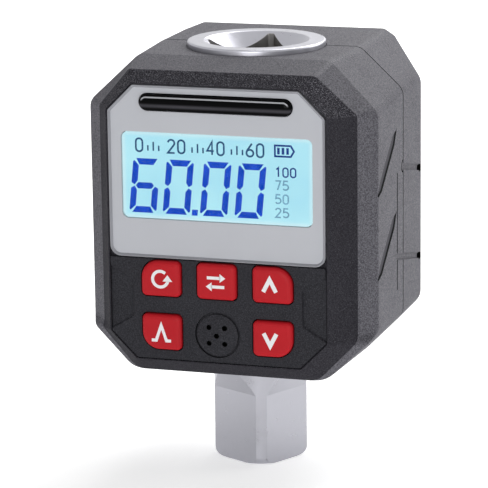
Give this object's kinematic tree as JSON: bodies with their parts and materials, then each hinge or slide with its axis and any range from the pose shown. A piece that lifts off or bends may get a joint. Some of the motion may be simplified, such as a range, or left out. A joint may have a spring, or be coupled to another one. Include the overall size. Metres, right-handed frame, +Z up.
{
  "type": "digital torque adapter",
  "caption": "Square drive torque adapter: boxy bevelled housing with a lit display, round top socket and square drive below.",
  "frame": {"origin": "centre of the flat tip of the male square drive", "axes": "+Z up the drive axis to the socket, -Y out of the display face, +X to the right of the display as it is read"},
  "size_m": [0.0504, 0.047, 0.0736],
  "materials": {
    "tool_steel": "nickel plated satin steel",
    "ball_steel": "polished hard steel ball",
    "spring_steel": "bright spring wire",
    "screw_steel": "zinc plated steel",
    "gauge_foil": "amber film with a foil grid",
    "seal_rubber": "soft black rubber",
    "shell_plastic": "dark grey plastic with a fine spark texture",
    "bezel_plastic": "near black plastic, fine matt",
    "plate_film": "silver grey satin film",
    "window_plastic": "clear hard coated window",
    "lcd": "pale cyan display glass",
    "diffuser": "milky light guide",
    "frame_white": "white moulded plastic",
    "zebra": "layered conductive rubber",
    "smoked_lens": "glossy smoked black plastic",
    "led_resin": "clear amber resin",
    "board_green": "green solder mask",
    "chip_black": "black moulded package",
    "switch_metal": "pressed steel cover",
    "plunger_black": "black moulded plastic",
    "key_red": "satin red plastic",
    "buzzer_black": "black moulded plastic",
    "plug_nylon": "natural nylon",
    "lead_red": "red wire insulation",
    "cell_can": "printed film over a metal can",
    "contact_brass": "plated spring brass",
    "pad_foam": "dark foam strip"
  },
  "bodies": {
    "adapter": {"transducer_body": "tool_steel", "detent_spring": "spring_steel", "strain_gauges": "gauge_foil", "top_seal": "seal_rubber", "bottom_seal": "seal_rubber", "front_shell": "shell_plastic", "rear_shell": "shell_plastic", "front_bezel": "bezel_plastic", "faceplate": "plate_film", "keypad_panel": "bezel_plastic", "display_window": "window_plastic", "lcd_glass": "lcd", "lcd_backlight": "diffuser", "lcd_frame": "frame_white", "zebra_strip": "zebra", "light_bar_lens": "smoked_lens", "indicator_leds": "led_resin", "main_board": "board_green", "board_chips": "chip_black", "board_screws": "screw_steel", "tact_switches": "switch_metal", "buzzer": "buzzer_black", "buzzer_grille": "bezel_plastic", "sensor_plug": "plug_nylon", "sensor_leads": "lead_red", "battery_leads": "lead_red", "battery_holder": "buzzer_black", "battery_left": "cell_can", "battery_right": "cell_can", "battery_contacts": "contact_brass", "battery_springs": "spring_steel", "shell_screws": "screw_steel"},
    "clear_key": {"key_clear": "key_red", "plunger_clear": "plunger_black"},
    "unit_key": {"key_unit": "key_red", "plunger_unit": "plunger_black"},
    "up_key": {"key_up": "key_red", "plunger_up": "plunger_black"},
    "mode_key": {"key_mode": "key_red", "plunger_mode": "plunger_black"},
    "down_key": {"key_down": "key_red", "plunger_down": "plunger_black"},
    "ball": {"detent_ball": "ball_steel"},
    "door": {"battery_door": "shell_plastic", "door_pad": "pad_foam", "door_screws": "screw_steel"}
  },
  "joints": [
    {"name": "clear_key_press", "type": "slide", "parent": "adapter", "child": "clear_key", "axis": [0, 1, 0], "range_m": [0, 0.0003], "stiffness_N_per_m": 800},
    {"name": "unit_key_press", "type": "slide", "parent": "adapter", "child": "unit_key", "axis": [0, 1, 0], "range_m": [0, 0.0003], "stiffness_N_per_m": 800},
    {"name": "up_key_press", "type": "slide", "parent": "adapter", "child": "up_key", "axis": [0, 1, 0], "range_m": [0, 0.0003], "stiffness_N_per_m": 800},
    {"name": "mode_key_press", "type": "slide", "parent": "adapter", "child": "mode_key", "axis": [0, 1, 0], "range_m": [0, 0.0003], "stiffness_N_per_m": 800},
    {"name": "down_key_press", "type": "slide", "parent": "adapter", "child": "down_key", "axis": [0, 1, 0], "range_m": [0, 0.0003], "stiffness_N_per_m": 800},
    {"name": "ball_press", "type": "slide", "parent": "adapter", "child": "ball", "axis": [-0.4617, -0.887, 0], "range_m": [0, 0.00055], "stiffness_N_per_m": 3000},
    {"name": "door_lift", "type": "slide", "parent": "adapter", "child": "door", "axis": [0, 1, 0], "range_m": [0, 0.012]}
  ]
}
